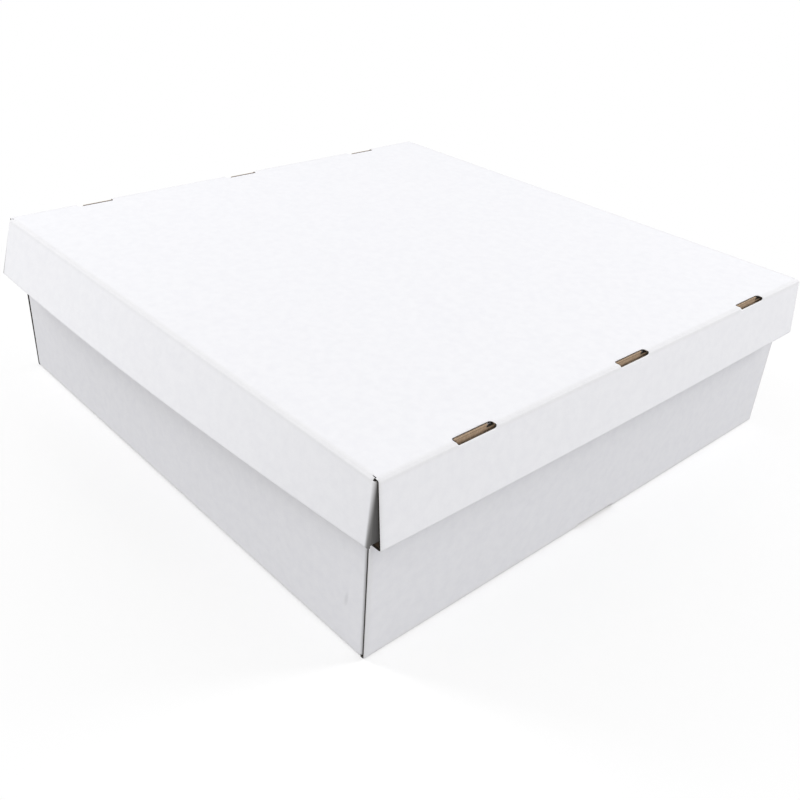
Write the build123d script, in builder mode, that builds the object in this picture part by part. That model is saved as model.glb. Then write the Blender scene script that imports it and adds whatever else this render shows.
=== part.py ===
"""Two-piece corrugated cake box: a folded tray and the lid that drops over it."""
import os
from math import hypot

from build123d import *

os.makedirs("parts", exist_ok=True)

# Board and inside sizes
board = 1.8              # thickness of the corrugated sheet
inside_width = 508.0     # between the rolled walls, along X
inside_length = 508.0    # between the plain walls, along Y
inside_depth = 152.4     # tray floor to the underside of the lid
lid_depth = 50.8         # inside depth of the lid

# Folds and fits
fold_radius = 1.4        # bend radius of the middle of the sheet
flap_play = 0.4          # air on each side of a corner flap in its pocket
sheet_gap = 0.3          # air at the end of an inner wall
end_play = 1.2           # air between an inner wall's ends and the plain walls
tray_setback = 0.3       # cut ends of the tray's outer walls behind the plain walls' faces
lid_setback = 1.7        # cut ends of the lid's outer walls behind the plain skirts' faces
corner_slit = 0.7        # width of the slits that free the corner flaps
slit_reach = 2.5         # run of a slit into the panel, past the flap's crease
lid_clearance = 1.2      # air between tray and lid on each side
fold_lap = 3.0           # overlap of the folds with the panels they join

# Corner flaps
tray_flap = 110.0        # length of the tray's corner flaps
lid_flap = 55.0          # length of the lid's corner flaps

# Set of the walls away from upright
plain_lean = 1.0         # tray's plain walls, inward at their tops
rolled_flare = 7.5       # lid's rolled walls, outward at their lower edges
plain_flare_right = 2.2  # lid's plain skirts there, right-hand end seen from outside
plain_flare_middle = 14.9
plain_flare_left = 14.4
fold_lean = 0.4          # outward step of a plain skirt at the end of its fold

# Lock tabs and the slots they stand in
lid_slots = 3            # slots along each rolled side of the lid
lid_slot_pitch = 172.5
lid_slot_length = 37.5
lid_tab_length = 31.0
lid_tab_shift = -2.1     # tabs sit off centre in their slots
tray_slot_length = 50.0
tray_tab_length = 46.0
slot_radius = 2.0        # rounded corners of a slot
slot_drop = 2.8          # how far a slot reaches down over the fold
slot_play = 0.4          # air behind a tab
tab_recess = 0.3         # end of a tab below the panel's face

# Derived positions of the sheet, measured to the middle of its thickness
half = board / 2
roll = 3 * board + 2 * flap_play
tray_x = inside_width / 2 + roll
tray_y = inside_length / 2 + board
rim_top = inside_depth + board
lid_x = tray_x + lid_clearance + roll
lid_y = tray_y + lid_clearance + board
lid_top = rim_top + board
lid_foot = lid_top - board - lid_depth

# Tray, half of it modelled and turned half a turn for the rest
with BuildPart() as base_tray:
    outer_mid = tray_x - half
    inner_mid = inside_width / 2 + half
    flap_mid = inner_mid + board + flap_play
    plain_mid = tray_y - half
    rim_mid = rim_top - half
    fold_top = half + fold_radius
    plain_top = rim_top - board - flap_play
    floor_x = outer_mid - fold_radius
    floor_y = plain_mid - fold_radius
    crease_x = flap_mid - fold_radius

    # Right half of the floor
    with BuildSketch(Plane.XY):
        Rectangle(floor_x, 2 * floor_y, align=(Align.MIN, Align.CENTER))
    extrude(amount=board)

    # Outer wall of the rolled side, from the floor up to the rim
    with BuildSketch(Plane.XZ):
        with BuildLine():
            FilletPolyline(
                (crease_x, half),
                (outer_mid, half),
                (outer_mid, rim_mid),
                (inner_mid + fold_radius, rim_mid),
                radius=fold_radius,
            )
        trace(line_width=board)
    extrude(amount=tray_y - tray_setback, both=True)

    # Inner wall of the rolled side, from the rim back down to the floor
    with BuildSketch(Plane.XZ):
        with BuildLine():
            FilletPolyline(
                (outer_mid - fold_radius, rim_mid),
                (inner_mid, rim_mid),
                (inner_mid, board + sheet_gap),
                radius=fold_radius,
            )
        trace(line_width=board)
    extrude(amount=inside_length / 2 - end_play, both=True)

    # Fold between the floor and the plain wall
    with BuildSketch(Plane.YZ):
        with BuildLine():
            FilletPolyline(
                (-floor_y + fold_lap, half),
                (-plain_mid, half),
                (-plain_mid, fold_top + fold_lap),
                radius=fold_radius,
            )
        trace(line_width=board)
    extrude(amount=crease_x, both=True)

    # Plain wall with its two corner flaps, leaning in a little
    with BuildSketch(Plane.XY.offset(fold_top)):
        with BuildLine():
            FilletPolyline(
                (flap_mid, tray_flap - plain_mid),
                (flap_mid, -plain_mid),
                (-flap_mid, -plain_mid),
                (-flap_mid, tray_flap - plain_mid),
                radius=fold_radius,
            )
        trace(line_width=board)
    wall_rise = plain_top - fold_top
    extrude(amount=hypot(plain_lean, wall_rise), dir=(0, plain_lean, wall_rise))

    # Slot in the floor and over the fold, and the inner wall's lock tab standing in it
    slot_inner = inside_width / 2 - slot_play
    with BuildSketch(Plane.XY):
        with Locations((slot_inner, 0)):
            Rectangle(roll, tray_slot_length, align=(Align.MIN, Align.CENTER))
        fillet(vertices().group_by(Axis.X)[0], radius=slot_radius)
    extrude(amount=board, mode=Mode.SUBTRACT)
    with BuildSketch(Plane.YZ.offset(inside_width / 2 + board)):
        RectangleRounded(tray_slot_length, 2 * slot_drop, slot_radius)
    extrude(amount=roll, mode=Mode.SUBTRACT)
    with BuildSketch(Plane.XY.offset(tab_recess)):
        with Locations((inner_mid, 0)):
            Rectangle(board, tray_tab_length)
    extrude(amount=slot_drop + board)

    add(base_tray.part.rotate(Axis.Z, 180))

    # Slits at the four corners of the floor
    with BuildSketch(Plane.XY):
        with GridLocations(2 * crease_x + corner_slit - slit_reach, 2 * floor_y - corner_slit, 2, 2):
            Rectangle(slit_reach + corner_slit, corner_slit)
        with GridLocations(2 * crease_x + corner_slit, floor_y + tray_y - corner_slit, 2, 2):
            Rectangle(corner_slit, tray_y - floor_y + corner_slit)
    extrude(amount=board, mode=Mode.SUBTRACT)
base_tray.part.label = "base_tray"
export_step(base_tray.part, "parts/base_tray.step")

# Lid, half of it modelled and turned half a turn for the rest
with BuildPart() as lid:
    outer_mid = lid_x - half
    inner_mid = tray_x + lid_clearance + half
    flap_mid = inner_mid + board + flap_play
    plain_mid = lid_y - half
    top_mid = lid_top - half
    rim_mid = lid_foot + half
    fold_foot = top_mid - fold_radius
    panel_x = outer_mid - fold_radius
    panel_y = plain_mid - fold_radius
    crease_x = flap_mid - fold_radius
    skirt_mid = plain_mid + fold_lean
    skirt_fall = fold_foot - lid_foot

    # Plain skirt, straight under its fold and bulging at its lower edge
    with BuildSketch(Plane.XY.offset(fold_foot)):
        with Locations((0, -skirt_mid)):
            Rectangle(2 * crease_x, board)
    with BuildSketch(Plane.XY.offset(lid_foot)):
        with BuildLine():
            outside = ThreePointArc(
                (-crease_x, -skirt_mid - half - plain_flare_left),
                (0, -skirt_mid - half - plain_flare_middle),
                (crease_x, -skirt_mid - half - plain_flare_right),
            )
            inside = ThreePointArc(
                (-crease_x, -skirt_mid + half - plain_flare_left),
                (0, -skirt_mid + half - plain_flare_middle),
                (crease_x, -skirt_mid + half - plain_flare_right),
            )
            Line(outside @ 0, inside @ 0)
            Line(outside @ 1, inside @ 1)
        make_face()
    loft(ruled=True)

    # Corner flaps, slanting forward with the ends of the skirt
    for side, flare in ((1, plain_flare_right), (-1, plain_flare_left)):
        with BuildSketch(Plane.XY.offset(fold_foot)):
            with BuildLine():
                FilletPolyline(
                    (side * flap_mid, lid_flap - skirt_mid),
                    (side * flap_mid, -skirt_mid),
                    (side * (crease_x - fold_lap), -skirt_mid),
                    radius=fold_radius,
                )
            trace(line_width=board)
        extrude(amount=hypot(flare, skirt_fall), dir=(0, -flare, -skirt_fall))

    # Flaps end above the rims that close their pockets
    with BuildSketch(Plane.XY.offset(lid_foot)):
        with Locations((flap_mid, 0), (-flap_mid, 0)):
            Rectangle(board + flap_play, 2 * (lid_y - lid_setback + flap_play))
    extrude(amount=board + flap_play, mode=Mode.SUBTRACT)

    # Fold between the top panel and the plain skirt
    with BuildSketch(Plane.YZ):
        with BuildLine():
            FilletPolyline(
                (-panel_y + fold_lap, top_mid),
                (-plain_mid, top_mid),
                (-skirt_mid, fold_foot),
                radius=fold_radius - fold_lean,
            )
        trace(line_width=board)
    extrude(amount=crease_x, both=True)

    # Right half of the top panel
    with BuildSketch(Plane.XY.offset(lid_top - board)):
        Rectangle(panel_x, 2 * panel_y, align=(Align.MIN, Align.CENTER))
    extrude(amount=board)

    # Outer wall of the rolled side, leaning out to its rim
    with BuildSketch(Plane.XZ):
        with BuildLine():
            FilletPolyline(
                (crease_x, top_mid),
                (outer_mid, top_mid),
                (outer_mid + rolled_flare, rim_mid),
                (inner_mid + fold_radius, rim_mid),
                radius=fold_radius,
            )
        trace(line_width=board)
    extrude(amount=lid_y - lid_setback, both=True)

    # Inner wall of the rolled side, upright
    with BuildSketch(Plane.XZ):
        with BuildLine():
            FilletPolyline(
                (outer_mid, rim_mid),
                (inner_mid, rim_mid),
                (inner_mid, lid_top - board - sheet_gap),
                radius=fold_radius,
            )
        trace(line_width=board)
    extrude(amount=lid_y - board - end_play, both=True)

    # Slots in the panel and over the fold, and the inner wall's lock tabs standing in them
    with BuildSketch(Plane.XY.offset(lid_top - board)):
        with Locations((inner_mid - half - slot_play, 0)):
            with GridLocations(roll, lid_slot_pitch, 1, lid_slots):
                Rectangle(roll, lid_slot_length, align=(Align.MIN, Align.CENTER))
        fillet(vertices().group_by(Axis.X)[0], radius=slot_radius)
    extrude(amount=board, mode=Mode.SUBTRACT)
    with BuildSketch(Plane.YZ.offset(inner_mid + half)):
        with Locations((0, lid_top)):
            with GridLocations(lid_slot_pitch, roll, lid_slots, 1):
                RectangleRounded(lid_slot_length, 2 * slot_drop, slot_radius)
    extrude(amount=roll, mode=Mode.SUBTRACT)
    with BuildSketch(Plane.XY.offset(lid_top - tab_recess)):
        with Locations((inner_mid, lid_tab_shift)):
            with GridLocations(roll, lid_slot_pitch, 1, lid_slots):
                Rectangle(board, lid_tab_length)
    extrude(amount=-slot_drop - board)

    add(lid.part.rotate(Axis.Z, 180))

    # Slits at the four corners of the panel
    with BuildSketch(Plane.XY.offset(lid_top - board)):
        with GridLocations(2 * crease_x + corner_slit - slit_reach, 2 * panel_y - corner_slit, 2, 2):
            Rectangle(slit_reach + corner_slit, corner_slit)
        with GridLocations(2 * crease_x + corner_slit, panel_y + lid_y - corner_slit, 2, 2):
            Rectangle(corner_slit, lid_y - panel_y + corner_slit)
    extrude(amount=board, mode=Mode.SUBTRACT)
lid.part.label = "lid"
export_step(lid.part, "parts/lid.step")
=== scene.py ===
"""White corrugated cake box: two blanks scored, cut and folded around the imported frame."""
from math import atan2, ceil, cos, hypot, pi, radians, sin, sqrt, tan
from types import SimpleNamespace

import bmesh
import bpy
from bpy.props import (
    FloatProperty,
    FloatVectorProperty,
    IntProperty,
    PointerProperty,
)
from bpy.types import Operator, Panel, PropertyGroup
from mathutils import Matrix, Vector
from mathutils.geometry import intersect_point_line
from mathutils.kdtree import KDTree


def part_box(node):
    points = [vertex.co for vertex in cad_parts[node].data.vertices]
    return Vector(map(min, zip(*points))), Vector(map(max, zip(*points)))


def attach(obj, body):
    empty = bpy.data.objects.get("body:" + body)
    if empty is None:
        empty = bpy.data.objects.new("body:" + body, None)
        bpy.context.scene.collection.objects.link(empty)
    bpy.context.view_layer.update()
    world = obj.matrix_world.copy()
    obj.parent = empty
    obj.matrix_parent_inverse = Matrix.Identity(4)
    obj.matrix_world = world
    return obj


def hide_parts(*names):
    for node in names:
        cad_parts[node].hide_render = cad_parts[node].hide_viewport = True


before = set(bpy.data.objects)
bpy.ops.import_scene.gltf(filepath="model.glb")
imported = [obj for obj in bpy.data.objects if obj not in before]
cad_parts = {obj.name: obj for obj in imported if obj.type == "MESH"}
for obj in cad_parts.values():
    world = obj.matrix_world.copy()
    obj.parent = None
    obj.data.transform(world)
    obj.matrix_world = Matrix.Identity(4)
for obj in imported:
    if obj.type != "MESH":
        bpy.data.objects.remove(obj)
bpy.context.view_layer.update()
_, TRAY_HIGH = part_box("base_tray")
LID_LOW, LID_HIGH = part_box("lid")
MM = 0.001
BLANK_UV = "blank"
EDGE = "edge"
CORNER_MARGIN = 1.5 * MM
POCKET_LIP = 4 * MM

bl_info = {
    "name": "Cake Box",
    "version": (1, 0, 0),
    "blender": (4, 5, 0),
    "location": "3D View > Sidebar > Cake Box",
    "description": "Folds a two-piece corrugated cake box from its blanks",
    "category": "Add Mesh",
}


def length(name, description, millimetres):
    """A size in metres whose default is written in millimetres."""
    return FloatProperty(
        name=name,
        description=description,
        default=millimetres * MM,
        unit="LENGTH",
        precision=5,
    )


def colour(name, description, value):
    """A linear RGB colour."""
    return FloatVectorProperty(
        name=name,
        description=description,
        default=value,
        size=3,
        min=0.0,
        max=1.0,
        subtype="COLOR",
    )


def spot(name, description, value):
    """A place in metres."""
    return FloatVectorProperty(
        name=name,
        description=description,
        default=value,
        size=3,
        subtype="TRANSLATION",
        unit="LENGTH",
    )


def power(name, description, watts):
    """Power of a lamp."""
    return FloatProperty(name=name, description=description, default=watts, unit="POWER")


class BoardSizes(PropertyGroup):
    """The corrugated board and the way it folds."""

    board: length("Board", "Thickness of the whole sheet", 1.8)
    liner: length("Liner", "Thickness of each face paper", 0.3)
    medium: length("Medium", "Thickness of the fluted paper", 0.16)
    hair: length("Hair", "Faces of the papers inside the full thickness", 0.03)
    crush: length("Crush", "White paper pressed down at a cut edge", 0.72)
    crush_run: length("Crush run", "Width of the pressed edge", 1.2)
    pitch: length("Flute pitch", "Distance from flute to flute", 3.3)
    flute_steps: IntProperty(
        name="Flute steps", description="Faces across one flute", default=6, min=4
    )
    fold_radius: length("Fold radius", "Bend radius of the sheet's middle", 1.4)
    fold_steps: IntProperty(
        name="Fold steps", description="Creases that make up one fold", default=6, min=2
    )
    flap_play: length("Flap play", "Air beside a tucked corner flap", 0.4)
    sheet_gap: length("Sheet gap", "Air at the end of an inner wall", 0.3)
    end_play: length("End play", "Air at the ends of an inner wall", 1.2)
    slit_reach: length("Slit reach", "Corner slit's run into the panel", 2.5)
    slit_width: length("Slit width", "Width of the corner slit", 0.7)
    slot_drop: length("Slot drop", "Reach of a slot down over its fold", 2.8)
    slot_play: length("Slot play", "Air behind a lock tab", 0.8)
    slot_radius: length("Slot radius", "Rounding of a slot's corners", 3.0)
    tab_recess: length("Tab recess", "End of a lock tab below the panel", 0.3)


class LidSizes(PropertyGroup):
    """The lid and how its skirts are sprung."""

    clearance: length("Clearance", "Air between tray and lid", 1.2)
    flap: length("Flap", "Length of the corner flaps", 55.0)
    setback: length("Setback", "Outer walls' cut ends behind the plain skirts", 1.7)
    rolled_flare: length("Rolled flare", "Outward lean of the rolled skirts", 7.4)
    bow_left: length("Bow left", "Rolled skirt pulled in, left-hand end", 2.2)
    bow_right: length("Bow right", "Rolled skirt pulled in, right-hand end", 1.5)
    flare_right: length("Flare right", "Plain skirt, right-hand end", 2.6)
    flare_middle: length("Flare middle", "Plain skirt, middle", 15.3)
    flare_left: length("Flare left", "Plain skirt, left-hand end", 14.8)
    # Painted shade on the tucked flaps widens with depth by this share.
    flap_shade_spread: FloatProperty(
        name="Flap shade spread", description="Flap's painted shade widens by this share", default=0.04
    )
    slot_count: IntProperty(name="Slots", description="Slots a side", default=3, min=1)
    slot_pitch: length("Slot pitch", "Distance between slots", 172.5)
    slot_length: length("Slot length", "Length of each slot", 37.5)
    tab_length: length("Tab length", "Length of each lock tab", 31.0)
    tab_shift: length("Tab shift", "Tabs off centre in their slots", -2.1)


class TraySizes(PropertyGroup):
    """The tray."""

    flap: length("Flap", "Length of the corner flaps", 110.0)
    setback: length("Setback", "Outer walls' cut ends behind the plain walls", 0.3)
    lean: length("Lean", "Plain walls leaning in at their tops", 1.0)
    # Painted shade on the tucked flaps widens with depth by this share.
    flap_shade_spread: FloatProperty(
        name="Flap shade spread", description="Flap's painted shade widens by this share", default=0.005
    )
    smudge_x: length("Smudge X", "Handling mark right of the middle", 239.5)
    smudge_z: length("Smudge Z", "Handling mark above the floor", 41.2)
    slot_length: length("Slot length", "Length of the floor slots", 50.0)
    tab_length: length("Tab length", "Length of the lock tabs", 46.0)


class BoardColours(PropertyGroup):
    """Colours of the papers."""

    lid_white: colour("Lid white", "Bleached face paper", (0.885, 0.885, 0.91))
    lid_shade: colour("Lid shade", "Cloudy parts of it", (0.85, 0.85, 0.88))
    # Painted shade: the tray's two whites are the lid's bleached paper made darker, so the
    # tray reads dimmer than the lid.
    tray_white_painted_darker: colour("Tray white painted darker", "Bleached face paper", (0.825, 0.825, 0.852))
    tray_cloud_painted_darker: colour("Tray cloud painted darker", "Cloudy parts of it", (0.785, 0.785, 0.818))
    rub: colour("Rubbed white", "White paper rubbed at a fold", (0.70, 0.69, 0.68))
    kraft: colour("Kraft liner", "Brown face paper", (0.60, 0.455, 0.32))
    kraft_shade: colour("Kraft shade", "Darker fibres in it", (0.37, 0.25, 0.16))
    kraft_fleck: colour("Kraft fleck", "Pale fibres in it", (0.80, 0.66, 0.52))
    # Painted shade: this dark brown stands in for the shade inside the rolled walls' pockets.
    pocket: colour("Pocket Shade", "Painted shade on the brown paper inside a rolled wall", (0.11, 0.08, 0.055))
    # Painted shade: these two greys stand in for the shade on the white flaps tucked in the
    # pockets.
    lid_flap_shade: colour("Lid flap shade", "Painted shade on white paper in a pocket", (0.18, 0.177, 0.175))
    tray_flap_shade: colour("Tray flap shade", "Painted shade on white paper in a pocket", (0.06, 0.058, 0.056))
    # Painted shade: this near black stands in for the shade in open cut edges.
    cut: colour("Cut Shade", "Painted shade in an open cut edge in a corner", (0.03, 0.025, 0.02))
    smudge: colour("Smudge", "Grey handling mark on the tray", (0.55, 0.55, 0.57))


class StageSettings(PropertyGroup):
    """Camera, floor and light."""

    camera: spot("Camera", "Where the camera stands", (0.59178, -0.55749, 0.47554))
    turn: FloatVectorProperty(
        name="Turn",
        description="How the camera is turned",
        default=(radians(59.1449), radians(-3.2053), radians(47.9296)),
        size=3,
        subtype="EULER",
        unit="ROTATION",
    )
    lens: FloatProperty(
        name="Lens", description="Focal length in millimetres", default=41.463, unit="CAMERA"
    )
    floor: colour("Floor", "Pale studio floor", (1.0, 1.0, 1.0))
    bounce: colour("Bounce", "Floor as the light meets it", (0.35, 0.35, 0.35))
    near: length("Near", "Where the floor shows its shadows", 150.0)
    far: length("Far", "Where the floor is plain white to the camera", 600.0)
    sky: FloatProperty(name="Sky", description="Light from all around", default=0.52)
    left: power("Left", "Softbox on the left", 39.0)
    left_spot: spot("Left spot", "Where it stands", (-2.13, -1.12, 1.3))
    left_aim: spot("Left aim", "Where it points", (0.0, -0.25, 0.08))
    right: power("Right", "Softbox on the right", 37.0)
    right_spot: spot("Right spot", "Where it stands", (1.13, 2.13, 1.3))
    right_aim: spot("Right aim", "Where it points", (0.26, 0.0, 0.08))
    front: power("Front", "Softbox behind the camera", 64.0)
    front_spot: spot("Front spot", "Where it stands", (2.9, -2.8, 1.5))
    front_aim: spot("Front aim", "Where it points", (0.26, -0.25, 0.08))
    softbox: length("Softbox", "Width of the side softboxes", 1200.0)
    front_softbox: length("Front softbox", "Width of the front softbox", 1920.0)
    floor_radius: length("Floor radius", "Reach of the floor", 12000.0)


def settings():
    """The add-on's property groups on the scene."""
    return bpy.context.scene.cake_box


class CakeBoxSettings(PropertyGroup):
    """All the add-on's settings."""

    board: PointerProperty(type=BoardSizes)
    lid: PointerProperty(type=LidSizes)
    tray: PointerProperty(type=TraySizes)
    colours: PointerProperty(type=BoardColours)
    stage: PointerProperty(type=StageSettings)


# Blanks: where each sheet is scored and cut, measured in the flat from the panel's middle


def fold(start, radius, angle, steps):
    """Crease lines and their angles for one rounded fold, and the line where it ends."""
    run = radius * angle
    lines = [(start + run * (i + 0.5) / steps, angle / steps) for i in range(steps)]
    return lines, start + run


def measure(shape):
    """Works out the score lines of a blank from its folded shape."""
    b = settings().board
    r = b.fold_radius
    n = b.fold_steps
    first = pi / 2 - shape.lean
    second = pi / 2 + shape.lean
    corner = tan(pi / 4)

    shape.a0 = shape.fold_x - r * tan(first / 2)
    shape.a, shape.a1 = fold(shape.a0, r, first, n)
    shape.b0 = shape.a1 + shape.outer - r * (tan(first / 2) + tan(second / 2))
    shape.b, shape.b1 = fold(shape.b0, r, second, n)
    shape.c0 = shape.b1 + shape.rim - r * (tan(second / 2) + corner)
    shape.c, shape.c1 = fold(shape.c0, r, pi / 2, n)
    shape.inner_end = shape.c1 + shape.inner - r * corner
    shape.tab_end = shape.inner_end + b.board + b.sheet_gap - b.tab_recess
    shape.slot_out = shape.a1 + b.slot_drop - b.board / 2 - r * tan(first / 2)

    shape.f0 = shape.fold_y - r * corner
    shape.f, shape.f1 = fold(shape.f0, r, pi / 2, n)
    shape.wall_end = shape.f1 + shape.wall - r * corner

    shape.h0 = shape.flap_mid - r * corner
    shape.h, shape.h1 = fold(shape.h0, r, pi / 2, n)
    shape.flap_end = shape.h1 + shape.flap - r * corner

    shape.slit_in = shape.h0 - b.slit_reach
    shape.slit_out = shape.h0 + b.slit_width
    shape.slit_low = shape.f0 - b.slit_width
    return shape


def lid_blank():
    """The lid's blank."""
    s = settings()
    b = s.board
    half = b.board / 2
    roll = 3 * b.board + 2 * b.flap_play
    inner_mid = TRAY_HIGH.x + s.lid.clearance + half
    fold_x = inner_mid + roll - b.board
    lid_y = TRAY_HIGH.y + s.lid.clearance + b.board
    drop = LID_HIGH.z - LID_LOW.z - b.board
    first = -(s.lid.slot_count - 1) / 2 * s.lid.slot_pitch
    slots = [first + i * s.lid.slot_pitch for i in range(s.lid.slot_count)]
    return measure(
        SimpleNamespace(
            fold_x=fold_x,
            fold_y=lid_y - half,
            lean=atan2(s.lid.rolled_flare, drop),
            outer=hypot(s.lid.rolled_flare, drop),
            rim=fold_x + s.lid.rolled_flare - inner_mid,
            inner=drop - half - b.sheet_gap,
            wall=drop + half,
            outer_half=lid_y - s.lid.setback,
            inner_half=lid_y - b.board - b.end_play,
            flap_mid=inner_mid + b.board + b.flap_play,
            flap=s.lid.flap,
            flap_trim=b.board + b.flap_play,
            flap_shade_spread=s.lid.flap_shade_spread,
            slot_in=inner_mid - half - b.slot_play,
            slots=slots,
            slot_length=s.lid.slot_length,
            tab_length=s.lid.tab_length,
            tab_shift=s.lid.tab_shift,
            flares=(s.lid.flare_left, s.lid.flare_middle, s.lid.flare_right),
            bows=(-s.lid.bow_left, 0.0, -s.lid.bow_right),
            flute_pieces=28,
            place=Matrix.Translation((0, 0, LID_HIGH.z - half)),
        )
    )


def tray_blank():
    """The tray's blank, folded upside down and turned over."""
    s = settings()
    b = s.board
    half = b.board / 2
    roll = 3 * b.board + 2 * b.flap_play
    inner_mid = TRAY_HIGH.x - roll + half
    drop = TRAY_HIGH.z - b.board
    return measure(
        SimpleNamespace(
            fold_x=TRAY_HIGH.x - half,
            fold_y=TRAY_HIGH.y - half,
            lean=0.0,
            outer=drop,
            rim=roll - b.board,
            inner=drop - half - b.sheet_gap,
            wall=drop - half - b.flap_play,
            outer_half=TRAY_HIGH.y - s.tray.setback,
            inner_half=TRAY_HIGH.y - b.board - b.end_play,
            flap_mid=inner_mid + b.board + b.flap_play,
            flap=s.tray.flap,
            flap_trim=0.0,
            flap_shade_spread=s.tray.flap_shade_spread,
            slot_in=inner_mid - half - b.slot_play,
            slots=[0.0],
            slot_length=s.tray.slot_length,
            tab_length=s.tray.tab_length,
            tab_shift=0.0,
            flares=(-s.tray.lean,) * 3,
            bows=(0.0, 0.0, 0.0),
            flute_pieces=4,
            place=Matrix.Translation((0, 0, half)) @ Matrix.Rotation(pi, 4, "X"),
        )
    )


# Cutting and folding


def score(bm, axis, at):
    """Scores the whole flat sheet along one line, unless one is there already."""
    same_line = 0.002 * MM
    point = Vector((0, 0, 0))
    point[axis] = at
    normal = Vector((0, 0, 0))
    normal[axis] = 1
    bmesh.ops.bisect_plane(
        bm,
        geom=bm.verts[:] + bm.edges[:] + bm.faces[:],
        dist=same_line,
        plane_co=point,
        plane_no=normal,
    )


def beside(line, way):
    """A cut line and the two lines that shape its pressed edge, on the side that is kept."""
    run = settings().board.crush_run
    return [line, line + way * run / 3, line + way * run]


def score_lines(shape):
    """Score positions across and along the blank, with those of its slots and tabs."""
    columns, rows = 14, 4
    across = [line for line, _ in shape.a + shape.b + shape.c + shape.h]
    across += [shape.h0 * (i + 0.5) / columns for i in range(columns)]
    for line in (shape.slit_in, shape.h0, shape.slot_in):
        across += beside(line, -1)
    for line in (shape.slit_out, shape.slot_out):
        across += beside(line, 1)
    for line in (shape.inner_end, shape.tab_end, shape.flap_end):
        across += beside(line, -1)

    along = [line for line, _ in shape.f]
    along += [shape.slit_low * (i + 0.5) / (columns / 2) for i in range(columns // 2)]
    along += [shape.f1 + (shape.wall_end - shape.f1) * i / rows for i in range(1, rows)]
    along += beside(shape.f1, 1)
    for line in (shape.slit_low, shape.outer_half, shape.inner_half):
        along += beside(line, -1)
    for line in (shape.wall_end, shape.wall_end - shape.flap_trim):
        along += beside(line, -1)
    along.append(shape.f0)

    marks = [(0, side * at) for at in across for side in (-1, 1)]
    marks += [(1, side * at) for at in along for side in (-1, 1)]
    for centre in shape.slots:
        for end in (-1, 1):
            marks += [(1, at) for at in beside(centre + end * shape.slot_length / 2, end)]
            for shift in (-shape.tab_shift, shape.tab_shift):
                tab_edge = centre + shift + end * shape.tab_length / 2
                marks += [(1, at) for at in beside(tab_edge, -end)]
    return sorted(set(marks))


def is_board(shape, x, y):
    """Whether the blank keeps board at a place, slots apart."""
    p, q = abs(x), abs(y)
    if q > shape.f1:
        return p < shape.h1 or (p < shape.flap_end and q < shape.wall_end - shape.flap_trim)
    if p > shape.inner_end:
        shift = shape.tab_shift if x > 0 else -shape.tab_shift
        return min(abs(y - centre - shift) for centre in shape.slots) < shape.tab_length / 2
    if p > shape.c1:
        return q < shape.inner_half
    if p > shape.slit_out:
        return q < shape.outer_half
    if q > shape.f0:
        return p < shape.h0
    return q < shape.slit_low or p < shape.slit_in


def cut_slot(bm, shape, side, centre):
    """Cuts one slot with rounded corners."""
    r = settings().board.slot_radius
    low, high = shape.slot_in, shape.slot_out
    reach = shape.slot_length / 2
    steps = 4

    def inside():
        found = []
        for face in bm.faces:
            c = face.calc_center_median()
            if low < side * c.x < high and abs(c.y - centre) < reach:
                found.append(face)
        return found

    corners = []
    for end in (-1, 1):
        for hub_p, way_p in ((low + r, -1), (high - r, 1)):
            hub = Vector((side * hub_p, centre + end * (reach - r), 0))
            for step in range(1, steps + 1):
                turn = step / (steps + 1) * pi / 2
                way = Vector((side * way_p * cos(turn), end * sin(turn), 0))
                corners.append((hub + way * r, way))
    for point, way in corners:
        faces = inside()
        geom = list({v for f in faces for v in f.verts})
        geom += list({e for f in faces for e in f.edges}) + faces
        bmesh.ops.bisect_plane(bm, geom=geom, plane_co=point, plane_no=way)
    waste = []
    for face in inside():
        c = face.calc_center_median()
        if all((c - point).dot(way) < 0 for point, way in corners):
            waste.append(face)
    bmesh.ops.delete(bm, geom=waste, context="FACES")


def cut_blank(shape):
    """A flat blank, white side up, scored and cut, with its flat layout kept as a UV map."""
    bm = bmesh.new()
    bmesh.ops.create_grid(bm, x_segments=1, y_segments=1, size=1.0)
    bmesh.ops.scale(bm, vec=(shape.tab_end, shape.wall_end, 1), verts=bm.verts)
    for axis, at in score_lines(shape):
        score(bm, axis, at)
    waste = []
    for face in bm.faces:
        c = face.calc_center_median()
        if not is_board(shape, c.x, c.y):
            waste.append(face)
    bmesh.ops.delete(bm, geom=waste, context="FACES")
    for side in (-1, 1):
        for centre in shape.slots:
            cut_slot(bm, shape, side, centre)

    layer = bm.loops.layers.uv.new(BLANK_UV)
    for face in bm.faces:
        for loop in face.loops:
            loop[layer].uv = loop.vert.co.xy
    return bm


def edge_finder(blank):
    """A function for the distance from a place on the flat blank to its nearest cut edge."""
    step = 0.3 * MM
    points = []
    for edge in blank.edges:
        if edge.is_boundary:
            a, b = (v.co.copy() for v in edge.verts)
            count = ceil((b - a).length / step)
            points += [(a.lerp(b, i / count), a, b) for i in range(count + 1)]
    tree = KDTree(len(points))
    for i, (point, _, _) in enumerate(points):
        tree.insert(point, i)
    tree.balance()

    def distance(place):
        _, i, _ = tree.find(place)
        _, a, b = points[i]
        nearest, share = intersect_point_line(place, a, b)
        if share <= 0:
            nearest = a
        elif share >= 1:
            nearest = b
        return (place - nearest).length

    return distance


def mark_edges(bm, distance):
    """Keeps each flat vertex's distance to the nearest cut edge."""
    layer = bm.verts.layers.float.new(EDGE)
    for v in bm.verts:
        v[layer] = distance(Vector((v.co.x, v.co.y, 0)))


def white_height(edge):
    """White face above the board's middle, pressed down towards a cut edge."""
    b = settings().board
    share = max(0.0, 1 - edge / b.crush_run)
    return b.board / 2 - b.hair - b.crush * (1 - sqrt(1 - share * share))


def brown_height():
    """Inner face of the brown paper below the board's middle."""
    b = settings().board
    return b.liner + b.hair - b.board / 2


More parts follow.
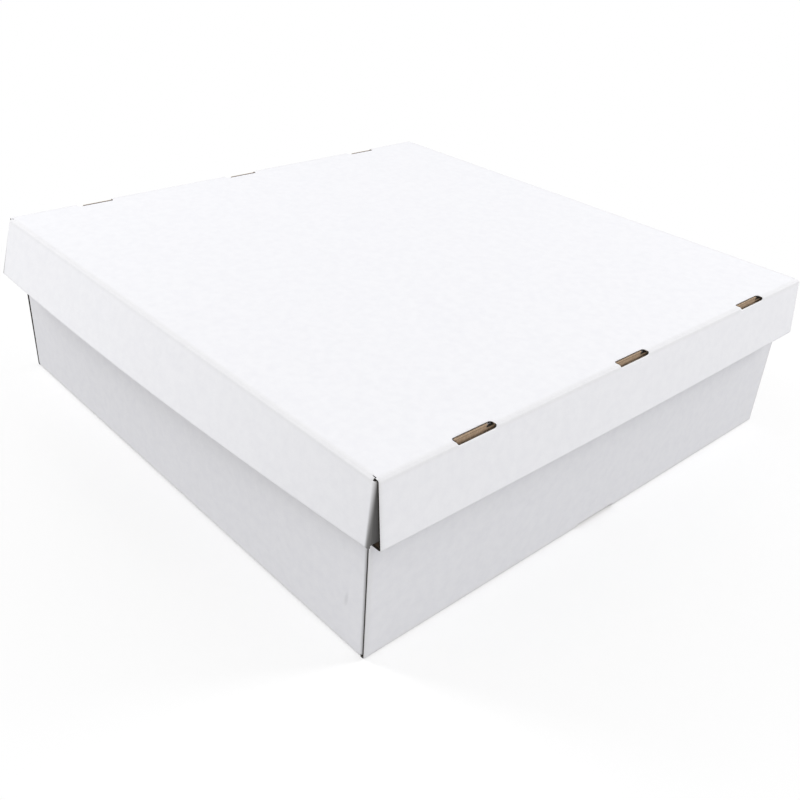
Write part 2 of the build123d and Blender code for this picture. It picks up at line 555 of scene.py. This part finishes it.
def bend(bm, verts, axis, creases):
    """Folds the sheet along creases, the outermost first, away from its white side."""
    flat = {v: v.co.copy() for v in verts}
    spin = "Y" if axis == 0 else "X"
    for line, angle in sorted(creases, reverse=True):
        for side in (-1, 1):
            beyond = [v for v, co in flat.items() if side * co[axis] > line]
            centre = Vector((0, 0, 0))
            centre[axis] = side * line
            turn = side * angle if axis == 0 else -side * angle
            bmesh.ops.rotate(
                bm, cent=centre, matrix=Matrix.Rotation(turn, 3, spin), verts=beyond
            )


def flare_at(flares, u):
    """How far a skirt's lower edge stands out, u from -1 at its left end to 1."""
    left, middle, right = flares
    u = max(-1.0, min(1.0, u))
    return middle * (1 - u * u) + (right - left) / 2 * u + (right + left) / 2 * u * u


def bow_share(shape, p):
    """Share of the bow that a rolled side takes, all of it at the rim's outer fold."""
    fall = (p - shape.a1) / (shape.b0 - shape.a1)
    back = (shape.c0 - p) / (shape.c0 - shape.b1)
    return max(0.0, min(1.0, fall, back))


def panels(bm, shape):
    """Vertices of the panel and rolled sides, the plain walls with their side, the flaps."""
    rolled, plain, flaps = set(), {}, set()
    for face in bm.faces:
        c = face.calc_center_median()
        p, q = abs(c.x), abs(c.y)
        if q > shape.f1:
            flaps.update(face.verts)
        if q > shape.f1 or (q > shape.f0 and p < shape.h0):
            plain.update((v, 1 if c.y > 0 else -1) for v in face.verts)
        else:
            rolled.update(face.verts)
    return rolled, plain, flaps


def fold_up(bm, shape):
    """Folds flat geometry the way the blank folds and lets the plain walls spring."""
    rolled, plain, flaps = panels(bm, shape)
    pulls = []
    for v in rolled:
        side = 1 if v.co.x > 0 else -1
        pull = flare_at(shape.bows, side * v.co.y / shape.outer_half)
        pulls.append((v, side * pull * bow_share(shape, abs(v.co.x))))
    bend(bm, rolled, 0, shape.a + shape.b + shape.c)
    for v, pull in pulls:
        v.co.x += pull
    bend(bm, flaps, 0, shape.h)
    bend(bm, plain, 1, shape.f)
    for v, side in plain.items():
        depth = max(0.0, -v.co.z) / shape.wall
        v.co.y += side * depth * flare_at(shape.flares, -side * v.co.x / shape.h0)
    bmesh.ops.transform(bm, matrix=shape.place, verts=bm.verts)
    bm.normal_update()


def paper(sheet, heights, thickness, face_slot, back_slot):
    """A paper shell whose face lies at given heights above the folded sheet."""
    bm = sheet.copy()
    bm.normal_update()
    layer = bm.verts.layers.float[EDGE]
    moves = [v.normal * v.calc_shell_factor() * heights(v[layer]) for v in bm.verts]
    for v, move in zip(bm.verts, moves):
        v.co += move
    for face in bm.faces:
        face.material_index = face_slot
    front = set(bm.faces)
    bmesh.ops.solidify(bm, geom=bm.faces[:], thickness=thickness)
    for face in bm.faces:
        if face not in front:
            face.material_index = back_slot
    bmesh.ops.recalc_face_normals(bm, faces=bm.faces)
    return bm


def join(parts):
    """One bmesh from several, which are freed."""
    whole = bmesh.new()
    for part in parts:
        mesh = bpy.data.meshes.new("part")
        part.to_mesh(mesh)
        part.free()
        whole.from_mesh(mesh)
        bpy.data.meshes.remove(mesh)
    return whole


def finish_piece(bm, name, body, node, materials):
    """Makes a bmesh a piece of the object that stands for a node of the frame."""
    limit = radians(50)
    for face in bm.faces:
        face.smooth = True
    for edge in bm.edges:
        edge.smooth = len(edge.link_faces) == 2 and edge.calc_face_angle(0.0) < limit
    mesh = bpy.data.meshes.new(name)
    bm.to_mesh(mesh)
    bm.free()
    piece = bpy.data.objects.new(name, mesh)
    bpy.context.scene.collection.objects.link(piece)
    for material in materials:
        mesh.materials.append(material)
    shading = piece.modifiers.new("even shading", "WEIGHTED_NORMAL")
    shading.keep_sharp = True
    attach(piece, body)
    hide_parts(node)
    return piece


def folded_sheet(shape):
    """Both face papers of a folded blank, and the finder of its cut edges."""
    b = settings().board
    sheet = cut_blank(shape)
    distance = edge_finder(sheet)
    mark_edges(sheet, distance)
    fold_up(sheet, shape)
    white = paper(sheet, white_height, b.liner, 0, 1)
    brown = paper(sheet, lambda edge: brown_height(), b.liner, 1, 1)
    sheet.free()
    return join([white, brown]), distance


# Flutes


def flute_patch(distance, low_p, high_p, low_q, high_q, segments=1):
    """A flat patch of fluted paper, its flutes running across the blank."""
    b = settings().board
    bm = bmesh.new()
    rows = max(2, ceil((high_q - low_q) / b.pitch * b.flute_steps))
    bmesh.ops.create_grid(bm, x_segments=segments, y_segments=rows, size=0.5)
    bmesh.ops.scale(bm, vec=(high_p - low_p, high_q - low_q, 1), verts=bm.verts)
    middle = ((low_p + high_p) / 2, (low_q + high_q) / 2, 0)
    bmesh.ops.translate(bm, vec=middle, verts=bm.verts)
    for at in beside(low_p, 1)[1:] + beside(high_p, -1)[1:]:
        score(bm, 0, at)
    mark_edges(bm, distance)
    layer = bm.verts.layers.float[EDGE]
    for v in bm.verts:
        top = white_height(v[layer]) - b.liner
        bottom = brown_height()
        height = (top - bottom - b.medium) / 2
        v.co.z = (top + bottom) / 2 + height * cos(2 * pi * v.co.y / b.pitch)
    return bm


def flutes(shape, distance):
    """The fluted paper of every panel whose cut edges can be seen."""
    b = settings().board
    gap = 0.4 * MM
    open_end = 3 * MM
    edge = shape.slit_low - open_end
    parts = [flute_patch(distance, -shape.slot_in, shape.slot_in, -edge, edge)]
    ends = [-edge]
    for centre in shape.slots:
        ends += [centre - shape.slot_length / 2, centre + shape.slot_length / 2]
    ends.append(edge)

    def patch(side_p, p0, p1, side_q, q0, q1, segments=1):
        low_p, high_p = sorted((side_p * p0, side_p * p1))
        low_q, high_q = sorted((side_q * q0, side_q * q1))
        parts.append(flute_patch(distance, low_p, high_p, low_q, high_q, segments))

    for side in (-1, 1):
        for q0, q1 in zip(ends[::2], ends[1::2]):
            patch(side, shape.slot_in, shape.a0 - gap, 1, q0, q1)
        end = shape.outer_half - open_end
        patch(side, shape.slot_out, shape.b0 - gap, 1, -end, end)
        for centre in shape.slots:
            middle = centre + side * shape.tab_shift
            reach = shape.tab_length / 2
            root = shape.inner_end - 2 * b.board
            patch(side, root, shape.tab_end, 1, middle - reach, middle + reach)
        low, high = shape.f1 + gap, shape.wall_end
        patch(1, gap - shape.h0, shape.h0 - gap, side, low, high, shape.flute_pieces)
        for end in (-1, 1):
            patch(end, shape.h1 + gap, shape.flap_end, side, low, high - shape.flap_trim)
    sheet = join(parts)
    fold_up(sheet, shape)
    core = paper(sheet, lambda edge: b.medium / 2, b.medium, 0, 0)
    sheet.free()
    return core


# Materials


def node(tree, kind, place, **values):
    """A node with its settings and its unlinked inputs."""
    made = tree.nodes.new(kind)
    made.location = place
    for key, value in values.items():
        if key in made.inputs:
            made.inputs[key].default_value = value
        else:
            setattr(made, key, value)
    return made


def socket(tree, name, way, kind, value=None):
    """A named socket on a node group."""
    made = tree.interface.new_socket(name=name, in_out=way, socket_type=kind)
    if value is not None:
        made.default_value = value


def math(tree, operation, place, first, second=None, clamp=False):
    """A math node fed by sockets or numbers; gives its output."""
    made = tree.nodes.new("ShaderNodeMath")
    made.location = place
    made.operation = operation
    made.use_clamp = clamp
    for i, value in enumerate((first, second)):
        if value is None:
            continue
        if isinstance(value, (int, float)):
            made.inputs[i].default_value = value
        else:
            tree.links.new(value, made.inputs[i])
    return made.outputs[0]


def ramp(tree, place, value, start, stop):
    """Rises smoothly from 0 at start to 1 at stop; gives its output."""
    made = node(tree, "ShaderNodeMapRange", place, interpolation_type="SMOOTHSTEP")
    made.inputs["From Min"].default_value = start
    made.inputs["From Max"].default_value = stop
    tree.links.new(value, made.inputs[0])
    return made.outputs[0]


def board_surface():
    """Node group: clouds, fibres, flutes, rubbed folds, and the painted shade of pockets,
    tucked flaps and cut edges of a face paper.
    """
    name = "board surface"
    if name in bpy.data.node_groups:
        return bpy.data.node_groups[name]
    tree = bpy.data.node_groups.new(name, "ShaderNodeTree")
    socket(tree, "Place", "INPUT", "NodeSocketVector")
    socket(tree, "Blank", "INPUT", "NodeSocketVector")
    socket(tree, "Cloud Scale", "INPUT", "NodeSocketFloat", 70.0)
    socket(tree, "Fibre Scale", "INPUT", "NodeSocketFloat", 900.0)
    socket(tree, "Flute Pitch", "INPUT", "NodeSocketFloat", 0.0033)
    socket(tree, "Fold X", "INPUT", "NodeSocketFloat", 0.26)
    socket(tree, "Fold Y", "INPUT", "NodeSocketFloat", 0.25)
    socket(tree, "Edge", "INPUT", "NodeSocketFloat", 0.0)
    socket(tree, "Corner", "INPUT", "NodeSocketFloat", 0.25)
    socket(tree, "Slot In", "INPUT", "NodeSocketFloat", 0.25)
    socket(tree, "Slot Out", "INPUT", "NodeSocketFloat", 0.26)
    socket(tree, "Pocket Shade", "INPUT", "NodeSocketFloat", 0.26)
    socket(tree, "Pocket End", "INPUT", "NodeSocketFloat", 0.4)
    socket(tree, "Flap", "INPUT", "NodeSocketFloat", 0.26)
    socket(tree, "Flap Shade Spread", "INPUT", "NodeSocketFloat", 0.0)
    for out in ("Cloud", "Fibre", "Fleck", "Flute", "Rub", "Pocket Shade", "Flap", "Cut Shade"):
        socket(tree, out, "OUTPUT", "NodeSocketFloat")
    start = node(tree, "NodeGroupInput", (-1000, 0))
    end = node(tree, "NodeGroupOutput", (800, 0))
    links = tree.links

    cloud = node(tree, "ShaderNodeTexNoise", (-600, 400), Detail=5.0, Roughness=0.62)
    links.new(start.outputs["Place"], cloud.inputs["Vector"])
    links.new(start.outputs["Cloud Scale"], cloud.inputs["Scale"])
    links.new(cloud.outputs[0], end.inputs["Cloud"])

    stretch = node(tree, "ShaderNodeMapping", (-800, 100))
    stretch.inputs["Scale"].default_value = (0.35, 1.0, 1.0)
    links.new(start.outputs["Blank"], stretch.inputs["Vector"])
    fibre = node(tree, "ShaderNodeTexNoise", (-600, 100), Detail=4.0, Roughness=0.7)
    links.new(stretch.outputs[0], fibre.inputs["Vector"])
    links.new(start.outputs["Fibre Scale"], fibre.inputs["Scale"])
    links.new(fibre.outputs[0], end.inputs["Fibre"])

    fleck = node(tree, "ShaderNodeTexVoronoi", (-600, -150), feature="F1", Randomness=1.0)
    half = math(tree, "MULTIPLY", (-800, -200), start.outputs["Fibre Scale"], 0.55)
    links.new(stretch.outputs[0], fleck.inputs["Vector"])
    links.new(half, fleck.inputs["Scale"])
    speck = node(tree, "ShaderNodeMapRange", (-400, -150))
    speck.inputs["From Min"].default_value = 0.05
    speck.inputs["From Max"].default_value = 0.22
    speck.inputs["To Min"].default_value = 1.0
    speck.inputs["To Max"].default_value = 0.0
    links.new(fleck.outputs["Distance"], speck.inputs[0])
    links.new(speck.outputs[0], end.inputs["Fleck"])

    parts = node(tree, "ShaderNodeSeparateXYZ", (-800, -450))
    links.new(start.outputs["Blank"], parts.inputs[0])
    turns = math(tree, "DIVIDE", (-600, -400), parts.outputs[1], start.outputs["Flute Pitch"])
    phase = math(tree, "MULTIPLY", (-450, -400), turns, 2 * pi)
    wave = math(tree, "COSINE", (-300, -400), phase)
    links.new(wave, end.inputs["Flute"])

    across = math(tree, "ABSOLUTE", (-600, -600), parts.outputs[0])
    along = math(tree, "ABSOLUTE", (-600, -800), parts.outputs[1])

    def past(place, size, name):
        return math(tree, "SUBTRACT", place, size, start.outputs[name])

    rubs = []
    for i, (size, name) in enumerate(((across, "Fold X"), (along, "Fold Y"))):
        row = -600 - 200 * i
        off = math(tree, "ABSOLUTE", (-300, row), past((-450, row), size, name))
        rubs.append(ramp(tree, (-150, row), off, 4.5 * MM, 0.6 * MM))
    rub = math(tree, "MAXIMUM", (50, -700), rubs[0], rubs[1])
    patchy = math(tree, "MULTIPLY", (250, -600), rub, fibre.outputs[0])
    links.new(patchy, end.inputs["Rub"])

    # Painted shade: the brown paper inside the rolled walls, from the outer fold to the inner
    # wall's top, is darkened for the pockets' shade.
    enter = ramp(tree, (-150, -1000), past((-300, -1000), across, "Pocket Shade"), 0.0, 1 * MM)
    leave = ramp(tree, (-150, -1150), past((-300, -1150), across, "Pocket End"), 0.0, -1 * MM)
    links.new(math(tree, "MULTIPLY", (50, -1000), enter, leave), end.inputs["Pocket Shade"])

    # Painted shade on the tucked flaps, widening with depth below the fold, and at the top of
    # each inner wall and its tabs, where the paper meets the panel.
    depth = past((-450, -1350), along, "Fold Y")
    widen = math(tree, "MULTIPLY", (-300, -1350), depth, start.outputs["Flap Shade Spread"])
    turned = math(tree, "ADD", (-150, -1350), past((-300, -1500), across, "Flap"), widen)
    tucked = ramp(tree, (50, -1350), turned, 0.0, 3 * MM)
    folded = ramp(tree, (50, -1500), depth, 0.5 * MM, 1.5 * MM)
    flap = math(tree, "MULTIPLY", (250, -1350), tucked, folded)
    top = past((-450, -1600), across, "Pocket End")
    wall_top_shade = ramp(tree, (50, -1600), top, 2 * MM, 3 * MM)
    links.new(math(tree, "MAXIMUM", (400, -1350), flap, wall_top_shade), end.inputs["Flap"])

    # Painted shade at open cut edges: near the corners, at the inner walls' ends and around
    # the slots, within about a millimetre of the edge.
    near_edge = ramp(tree, (-150, -1700), start.outputs["Edge"], 1.6 * MM, 0.4 * MM)
    corner = past((-450, -1850), along, "Corner")
    inside = ramp(tree, (-150, -1850), corner, 0.0, 0.5 * MM)
    outside = ramp(tree, (-150, -2000), corner, 8 * MM, 7 * MM)
    cut_shade_band = math(tree, "MULTIPLY", (50, -1900), inside, outside)
    past_top = math(tree, "SUBTRACT", (-300, -2150), top, POCKET_LIP)
    off_top = math(tree, "ABSOLUTE", (-150, -2150), past_top)
    wall_end = ramp(tree, (0, -2150), off_top, 1.2 * MM, 0.8 * MM)
    cut_shade_band = math(tree, "MAXIMUM", (150, -2000), cut_shade_band, wall_end)
    past_in = past((-300, -2300), across, "Slot In")
    past_out = past((-300, -2450), across, "Slot Out")
    slot_in = ramp(tree, (-150, -2300), past_in, -1.5 * MM, -1 * MM)
    slot_out = ramp(tree, (-150, -2450), past_out, 1.5 * MM, 1 * MM)
    slot = math(tree, "MULTIPLY", (50, -2350), slot_in, slot_out)
    cut_shade_band = math(tree, "MAXIMUM", (250, -2100), cut_shade_band, slot)
    links.new(math(tree, "MULTIPLY", (400, -1800), near_edge, cut_shade_band), end.inputs["Cut Shade"])
    return tree


def mix(tree, place, factor, first, second):
    """A colour mix; the factor and colours may be sockets or values. Gives its output."""
    made = tree.nodes.new("ShaderNodeMix")
    made.location = place
    made.data_type = "RGBA"
    for i, value in ((0, factor), (6, first), (7, second)):
        if hasattr(value, "is_linked"):
            tree.links.new(value, made.inputs[i])
        elif i == 0:
            made.inputs[i].default_value = value
        else:
            made.inputs[i].default_value = (*value, 1.0)
    return made.outputs[2]


def start_material(name, shape, cloud, fibre):
    """A material with the board surface group wired to its coordinates."""
    material = bpy.data.materials.new(name)
    material.use_nodes = True
    tree = material.node_tree
    place = node(tree, "ShaderNodeTexCoord", (-1300, 200))
    flat = node(tree, "ShaderNodeUVMap", (-1300, -100), uv_map=BLANK_UV)
    surface = node(tree, "ShaderNodeGroup", (-1050, 100), node_tree=board_surface())
    surface.inputs["Cloud Scale"].default_value = cloud
    surface.inputs["Fibre Scale"].default_value = fibre
    surface.inputs["Flute Pitch"].default_value = settings().board.pitch
    surface.inputs["Fold X"].default_value = (shape.a0 + shape.a1) / 2
    surface.inputs["Fold Y"].default_value = (shape.f0 + shape.f1) / 2
    surface.inputs["Corner"].default_value = shape.slit_low - CORNER_MARGIN
    surface.inputs["Slot In"].default_value = shape.slot_in
    surface.inputs["Slot Out"].default_value = shape.slot_out
    surface.inputs["Pocket Shade"].default_value = shape.a1
    surface.inputs["Pocket End"].default_value = shape.inner_end - POCKET_LIP
    surface.inputs["Flap"].default_value = shape.h0
    surface.inputs["Flap Shade Spread"].default_value = shape.flap_shade_spread
    edge = node(tree, "ShaderNodeAttribute", (-1300, -300), attribute_name=EDGE)
    tree.links.new(edge.outputs["Fac"], surface.inputs["Edge"])
    tree.links.new(place.outputs["Object"], surface.inputs["Place"])
    tree.links.new(flat.outputs[0], surface.inputs["Blank"])
    return material, tree, place, surface.outputs


def bump_chain(tree, place, heights):
    """Bump nodes in a row, from (height socket, distance, strength); gives the normal."""
    normal = None
    for i, (height, distance, strength) in enumerate(heights):
        made = node(tree, "ShaderNodeBump", (place[0] + 200 * i, place[1]))
        made.inputs["Distance"].default_value = distance
        made.inputs["Strength"].default_value = strength
        tree.links.new(height, made.inputs["Height"])
        if normal is not None:
            tree.links.new(normal, made.inputs["Normal"])
        normal = made.outputs[0]
    return normal


def white_paper(name, shape, white, shade, flap, smudge=None):
    """Bleached white face paper: cloudy, faintly ribbed by the flutes, rubbed at the folds."""
    c = settings().colours
    material, tree, place, surface = start_material(name, shape, 130.0, 1400.0)
    shader = tree.nodes["Principled BSDF"]
    cloud = node(tree, "ShaderNodeMapRange", (-800, 300))
    cloud.inputs["From Min"].default_value = 0.38
    cloud.inputs["From Max"].default_value = 0.72
    tree.links.new(surface["Cloud"], cloud.inputs[0])
    tone = mix(tree, (-600, 300), cloud.outputs[0], white, shade)
    grain = math(tree, "MULTIPLY", (-800, 50), surface["Fibre"], 0.22)
    tone = mix(tree, (-400, 300), grain, tone, shade)
    rub = math(tree, "MULTIPLY", (-600, 50), surface["Rub"], 0.5)
    tone = mix(tree, (-200, 300), rub, tone, c.rub)
    # Painted shade: the tucked flaps and the inner walls' tops take a dark grey in place of
    # white.
    tone = mix(tree, (-100, 400), surface["Flap"], tone, flap)
    if smudge is not None:
        tone = mix(tree, (0, 300), smudge_mask(tree, place, smudge), tone, c.smudge)
    tree.links.new(tone, shader.inputs["Base Color"])
    rough = node(tree, "ShaderNodeMapRange", (-400, 0))
    rough.inputs["To Min"].default_value = 0.74
    rough.inputs["To Max"].default_value = 0.92
    tree.links.new(surface["Fibre"], rough.inputs[0])
    tree.links.new(rough.outputs[0], shader.inputs["Roughness"])
    shader.inputs["Specular IOR Level"].default_value = 0.1
    normal = bump_chain(
        tree,
        (-400, -300),
        [
            (surface["Flute"], 0.00002, 0.2),
            (surface["Fibre"], 0.00008, 0.25),
            (surface["Cloud"], 0.0004, 0.15),
        ],
    )
    tree.links.new(normal, shader.inputs["Normal"])
    return material


def smudge_mask(tree, place, centre):
    """A faint slanting handling mark at a place on the tray's front wall."""
    shift = node(tree, "ShaderNodeMapping", (-800, 700), vector_type="TEXTURE")
    shift.inputs["Location"].default_value = centre
    shift.inputs["Rotation"].default_value = (0, radians(10), 0)
    shift.inputs["Scale"].default_value = (0.0022, 0.02, 0.008)
    tree.links.new(place.outputs["Object"], shift.inputs["Vector"])
    size = node(tree, "ShaderNodeVectorMath", (-600, 700), operation="LENGTH")
    tree.links.new(shift.outputs[0], size.inputs[0])
    soft = node(tree, "ShaderNodeMapRange", (-400, 700), interpolation_type="SMOOTHSTEP")
    soft.inputs["From Min"].default_value = 0.2
    soft.inputs["From Max"].default_value = 1.2
    soft.inputs["To Min"].default_value = 0.35
    soft.inputs["To Max"].default_value = 0.0
    tree.links.new(size.outputs["Value"], soft.inputs[0])
    return soft.outputs[0]


def kraft_paper(name, shape):
    """Brown face paper: long fibres, pale and dark flecks, ribbed by the flutes."""
    c = settings().colours
    material, tree, _, surface = start_material(name, shape, 90.0, 900.0)
    shader = tree.nodes["Principled BSDF"]
    fibre = node(tree, "ShaderNodeMapRange", (-800, 300))
    fibre.inputs["From Min"].default_value = 0.35
    fibre.inputs["From Max"].default_value = 0.68
    tree.links.new(surface["Fibre"], fibre.inputs[0])
    tone = mix(tree, (-600, 300), fibre.outputs[0], c.kraft, c.kraft_shade)
    cloud = math(tree, "MULTIPLY", (-800, 50), surface["Cloud"], 0.45)
    tone = mix(tree, (-400, 300), cloud, tone, c.kraft_shade)
    fleck = math(tree, "MULTIPLY", (-600, 50), surface["Fleck"], 0.55)
    tone = mix(tree, (-200, 300), fleck, tone, c.kraft_fleck)
    # Painted shade inside the rolled walls' pockets.
    tone = mix(tree, (-100, 400), surface["Pocket Shade"], tone, c.pocket)
    # Painted shade on open cut edges at the corners, inner wall ends and slots.
    tone = mix(tree, (0, 300), surface["Cut Shade"], tone, c.cut)
    tree.links.new(tone, shader.inputs["Base Color"])
    rough = node(tree, "ShaderNodeMapRange", (-400, 0))
    rough.inputs["To Min"].default_value = 0.74
    rough.inputs["To Max"].default_value = 0.9
    tree.links.new(surface["Fibre"], rough.inputs[0])
    tree.links.new(rough.outputs[0], shader.inputs["Roughness"])
    shader.inputs["Specular IOR Level"].default_value = 0.2
    normal = bump_chain(
        tree,
        (-400, -300),
        [(surface["Flute"], 0.00004, 0.6), (surface["Fibre"], 0.00012, 0.4)],
    )
    tree.links.new(normal, shader.inputs["Normal"])
    return material


def fluted_paper(name):
    """Thin brown paper of the flutes, cloudy and a little darker than the face paper."""
    c = settings().colours
    material = bpy.data.materials.new(name)
    material.use_nodes = True
    tree = material.node_tree
    shader = tree.nodes["Principled BSDF"]
    place = node(tree, "ShaderNodeTexCoord", (-1000, 200))
    cloud = node(tree, "ShaderNodeTexNoise", (-800, 200), Scale=700.0, Detail=4.0)
    tree.links.new(place.outputs["Object"], cloud.inputs["Vector"])
    tone = mix(tree, (-400, 300), cloud.outputs[0], c.kraft, c.kraft_shade)
    tree.links.new(tone, shader.inputs["Base Color"])
    rough = node(tree, "ShaderNodeMapRange", (-400, 0))
    rough.inputs["To Min"].default_value = 0.78
    rough.inputs["To Max"].default_value = 0.95
    tree.links.new(cloud.outputs[0], rough.inputs[0])
    tree.links.new(rough.outputs[0], shader.inputs["Roughness"])
    shader.inputs["Specular IOR Level"].default_value = 0.15
    normal = bump_chain(tree, (-400, -300), [(cloud.outputs[0], 0.0001, 0.3)])
    tree.links.new(normal, shader.inputs["Normal"])
    return material


# Operators


class CAKEBOX_OT_tray(Operator):
    """Fold the tray and fill its board with flutes"""

    bl_idname = "cakebox.tray"
    bl_label = "Fold Tray"
    bl_options = {"REGISTER", "UNDO"}

    def execute(self, context):
        c = settings().colours
        sizes = settings().tray
        shape = tray_blank()
        smudge = (sizes.smudge_x, -TRAY_HIGH.y, sizes.smudge_z)
        papers = [
            white_paper(
                "tray white paper", shape, c.tray_white_painted_darker, c.tray_cloud_painted_darker, c.tray_flap_shade, smudge
            ),
            kraft_paper("tray kraft paper", shape),
        ]
        sheet, distance = folded_sheet(shape)
        finish_piece(sheet, "tray_sheet", "tray", "base_tray", papers)
        core = [fluted_paper("tray fluted paper")]
        fluted = flutes(shape, distance)
        finish_piece(fluted, "tray_flutes", "tray", "base_tray", core)
        return {"FINISHED"}


class CAKEBOX_OT_lid(Operator):
    """Fold the lid and fill its board with flutes"""

    bl_idname = "cakebox.lid"
    bl_label = "Fold Lid"
    bl_options = {"REGISTER", "UNDO"}

    def execute(self, context):
        c = settings().colours
        shape = lid_blank()
        papers = [
            white_paper("lid white paper", shape, c.lid_white, c.lid_shade, c.lid_flap_shade),
            kraft_paper("lid kraft paper", shape),
        ]
        sheet, distance = folded_sheet(shape)
        finish_piece(sheet, "lid_sheet", "cover", "lid", papers)
        core = [fluted_paper("lid fluted paper")]
        fluted = flutes(shape, distance)
        finish_piece(fluted, "lid_flutes", "cover", "lid", core)
        return {"FINISHED"}


def softbox(name, source, target, power, size):
    """A large soft light beside the box."""
    data = bpy.data.lights.new(name, "AREA")
    data.shape = "DISK"
    data.size = size
    data.energy = power
    lamp = bpy.data.objects.new(name, data)
    lamp.location = source
    back = Vector(source) - Vector(target)
    lamp.rotation_euler = back.to_track_quat("Z", "Y").to_euler()
    lamp.visible_camera = False
    bpy.context.scene.collection.objects.link(lamp)


def shown_rays(tree):
    """1 for what the camera sees, straight, mirrored or through glass, otherwise 0."""
    rays = node(tree, "ShaderNodeLightPath", (-900, 300)).outputs
    shown = math(tree, "MAXIMUM", (-700, 300), rays["Is Camera Ray"], rays["Is Glossy Ray"])
    return math(tree, "MAXIMUM", (-500, 300), shown, rays["Is Transmission Ray"])


def studio_world(strength):
    """Even light from all around, plain white where the camera sees it."""
    world = bpy.data.worlds.new("studio")
    bpy.context.scene.world = world
    world.use_nodes = True
    tree = world.node_tree
    light = tree.nodes["Background"]
    light.inputs["Color"].default_value = (1.0, 1.0, 1.0, 1.0)
    light.inputs["Strength"].default_value = strength
    seen = node(tree, "ShaderNodeBackground", (0, -200))
    seen.inputs["Color"].default_value = (1.0, 1.0, 1.0, 1.0)
    seen.inputs["Strength"].default_value = 1.0
    blend = node(tree, "ShaderNodeMixShader", (250, 0))
    tree.links.new(shown_rays(tree), blend.inputs[0])
    tree.links.new(light.outputs[0], blend.inputs[1])
    tree.links.new(seen.outputs[0], blend.inputs[2])
    tree.links.new(blend.outputs[0], tree.nodes["World Output"].inputs[0])


class CAKEBOX_OT_stage(Operator):
    """Set up the floor, the light and the camera"""

    bl_idname = "cakebox.stage"
    bl_label = "Set Stage"
    bl_options = {"REGISTER", "UNDO"}

    def execute(self, context):
        s = settings().stage
        scene = context.scene
        bm = bmesh.new()
        bmesh.ops.create_circle(bm, cap_ends=True, segments=96, radius=s.floor_radius)
        mesh = bpy.data.meshes.new("studio_floor")
        bm.to_mesh(mesh)
        bm.free()
        floor = bpy.data.objects.new("studio_floor", mesh)
        scene.collection.objects.link(floor)
        material = bpy.data.materials.new("studio floor")
        material.use_nodes = True
        tree = material.node_tree
        shader = tree.nodes["Principled BSDF"]
        shown = shown_rays(tree)
        seen = mix(tree, (-300, 300), shown, s.bounce, s.floor)
        tree.links.new(seen, shader.inputs["Base Color"])
        glow = node(tree, "ShaderNodeEmission", (0, -200))
        glow.inputs["Color"].default_value = (*s.floor, 1.0)
        blend = node(tree, "ShaderNodeMixShader", (300, 0))
        place = node(tree, "ShaderNodeTexCoord", (-700, 700))
        away = node(tree, "ShaderNodeVectorMath", (-500, 700), operation="LENGTH")
        tree.links.new(place.outputs["Object"], away.inputs[0])
        plain = ramp(tree, (-300, 700), away.outputs["Value"], s.near, s.far)
        tree.links.new(math(tree, "MULTIPLY", (-100, 500), shown, plain), blend.inputs[0])
        tree.links.new(shader.outputs[0], blend.inputs[1])
        tree.links.new(glow.outputs[0], blend.inputs[2])
        tree.links.new(blend.outputs[0], tree.nodes["Material Output"].inputs[0])
        shader.inputs["Roughness"].default_value = 0.9
        shader.inputs["Specular IOR Level"].default_value = 0.0
        mesh.materials.append(material)

        studio_world(s.sky)
        softbox("left_softbox", s.left_spot, s.left_aim, s.left, s.softbox)
        softbox("right_softbox", s.right_spot, s.right_aim, s.right, s.softbox)
        softbox("front_softbox", s.front_spot, s.front_aim, s.front, s.front_softbox)

        data = bpy.data.cameras.new("photo_camera")
        data.sensor_fit = "HORIZONTAL"
        data.sensor_width = 36.0
        data.lens = s.lens
        data.clip_start = 0.01
        camera = bpy.data.objects.new("photo_camera", data)
        camera.location = s.camera
        camera.rotation_euler = s.turn
        scene.collection.objects.link(camera)
        scene.camera = camera
        scene.view_settings.view_transform = "Standard"
        return {"FINISHED"}


class CAKEBOX_PT_panel(Panel):
    """Sizes, colours and steps of the cake box"""

    bl_idname = "CAKEBOX_PT_panel"
    bl_label = "Cake Box"
    bl_space_type = "VIEW_3D"
    bl_region_type = "UI"
    bl_category = "Cake Box"

    def draw(self, context):
        layout = self.layout
        box = context.scene.cake_box
        for operator in OPERATORS:
            layout.operator(operator.bl_idname)
        for group in (box.board, box.lid, box.tray, box.colours, box.stage):
            column = layout.column(align=True)
            for name in group.bl_rna.properties.keys():
                if name not in {"rna_type", "name"}:
                    column.prop(group, name)


OPERATORS = (CAKEBOX_OT_tray, CAKEBOX_OT_lid, CAKEBOX_OT_stage)
CLASSES = (
    BoardSizes,
    LidSizes,
    TraySizes,
    BoardColours,
    StageSettings,
    CakeBoxSettings,
    *OPERATORS,
    CAKEBOX_PT_panel,
)


def register():
    for cls in CLASSES:
        bpy.utils.register_class(cls)
    bpy.types.Scene.cake_box = PointerProperty(type=CakeBoxSettings)


def unregister():
    del bpy.types.Scene.cake_box
    for cls in reversed(CLASSES):
        bpy.utils.unregister_class(cls)


def main():
    register()
    bpy.ops.cakebox.tray()
    bpy.ops.cakebox.lid()
    bpy.ops.cakebox.stage()
    bpy.context.view_layer.update()


if __name__ == "__main__":
    main()
